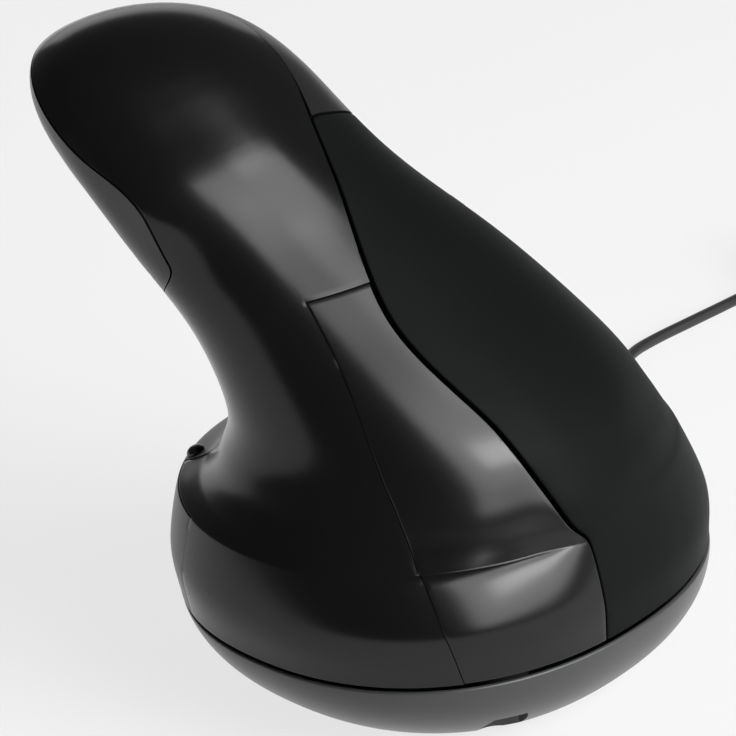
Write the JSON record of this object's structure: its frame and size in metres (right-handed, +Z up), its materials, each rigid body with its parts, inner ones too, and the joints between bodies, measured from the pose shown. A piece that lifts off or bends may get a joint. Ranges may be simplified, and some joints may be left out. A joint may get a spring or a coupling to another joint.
{
  "type": "vertical ergonomic mouse",
  "caption": "Corded upright mouse: a leaning glossy handle with a soft grip panel on an oval bowl base, with finger buttons and a scroll wheel in front and thumb keys on the left.",
  "frame": {"origin": "on the table under the middle of the base, at the edge of the sensor opening's glide ring", "axes": "+X to the user's right, +Y away from the user along the cable, +Z up from the table"},
  "size_m": [0.1036, 0.2617, 0.1154],
  "materials": {
    "satin_black": "satin moulded plastic",
    "gloss_black": "glossy moulded plastic",
    "grip_rubber": "soft matte coating",
    "cable_sheath": "satin cable sheath",
    "tie_black": "matte",
    "bright_steel": "plated",
    "plain_steel": "plain",
    "white_plastic": "plain",
    "glide_black": "slick low-friction plastic",
    "clear_lens": "clear",
    "smoked_lens": "smoked",
    "board_green": "solder mask",
    "chip_black": "moulded",
    "frame_grey": "moulded",
    "switch_red": "moulded",
    "encoder_green": "moulded",
    "tyre_rubber": "ribbed rubber",
    "wire_grey": "insulated wires"
  },
  "bodies": {
    "housing": {"base_tray": "satin_black", "front_shell": "satin_black", "back_cover": "gloss_black", "side_cover": "gloss_black", "grip_panel": "grip_rubber", "cable_gland": "cable_sheath", "cable_lead": "cable_sheath", "cable_coil": "cable_sheath", "cable_tail": "cable_sheath", "cable_tie": "tie_black", "usb_plug_housing": "cable_sheath", "usb_plug_shell": "bright_steel", "usb_plug_tongue": "white_plastic", "glide_feet": "glide_black", "sensor_lens": "clear_lens", "indicator_lens": "smoked_lens", "main_board": "board_green", "switch_board": "board_green", "thumb_board": "board_green", "sensor_chip": "chip_black", "board_components": "chip_black", "cable_connector": "white_plastic", "ballast_plate": "plain_steel", "inner_frame": "frame_grey", "button_pins": "plain_steel", "button_switches": "switch_red", "wheel_switch": "chip_black", "thumb_switches": "chip_black", "speed_switch": "chip_black", "case_screws": "plain_steel", "board_screws": "plain_steel", "switch_harness": "wire_grey"},
    "upper_button": {"upper_button": "satin_black"},
    "lower_button": {"lower_button": "satin_black"},
    "wheel_carriage": {"wheel_carriage": "frame_grey", "wheel_encoder": "encoder_green"},
    "wheel": {"scroll_wheel": "frame_grey", "wheel_tyre": "tyre_rubber", "wheel_axle": "plain_steel"},
    "thumb_forward": {"thumb_forward_button": "satin_black"},
    "thumb_back": {"thumb_back_button": "satin_black"},
    "speed_button": {"speed_button": "satin_black"}
  },
  "joints": [
    {"name": "upper_press", "type": "hinge", "parent": "housing", "child": "upper_button", "pos_m": [-0.02852, 0.00547, 0.07494], "axis": [0.4894, 0.5964, -0.6362], "range_deg": [0, 2], "stiffness_Nm_per_rad": 0.1, "springref_deg": -2.86},
    {"name": "lower_press", "type": "hinge", "parent": "housing", "child": "lower_button", "pos_m": [-0.01139, 0.02634, 0.05267], "axis": [0.4894, 0.5964, -0.6362], "range_deg": [0, 2], "stiffness_Nm_per_rad": 0.1, "springref_deg": -2.86},
    {"name": "wheel_press", "type": "slide", "parent": "housing", "child": "wheel_carriage", "axis": [0.3455, -0.8025, -0.4865], "range_m": [0, 0.0005], "stiffness_N_per_m": 2000, "springref_m": -0.0003},
    {"name": "wheel_spin", "type": "hinge", "parent": "wheel_carriage", "child": "wheel", "pos_m": [-0.01822, 0.01924, 0.06827], "axis": [-0.4894, -0.5964, 0.6362], "continuous": true},
    {"name": "thumb_forward_press", "type": "slide", "parent": "housing", "child": "thumb_forward", "axis": [0.9525, -0.2341, 0.1949], "range_m": [0, 0.0006], "stiffness_N_per_m": 1500, "springref_m": -0.0003},
    {"name": "thumb_back_press", "type": "slide", "parent": "housing", "child": "thumb_back", "axis": [0.9539, 0.0184, 0.2997], "range_m": [0, 0.0006], "stiffness_N_per_m": 1500, "springref_m": -0.0003},
    {"name": "speed_press", "type": "slide", "parent": "housing", "child": "speed_button", "axis": [0, 0, 1], "range_m": [0, 0.0005], "stiffness_N_per_m": 1500, "springref_m": -0.0003}
  ]
}
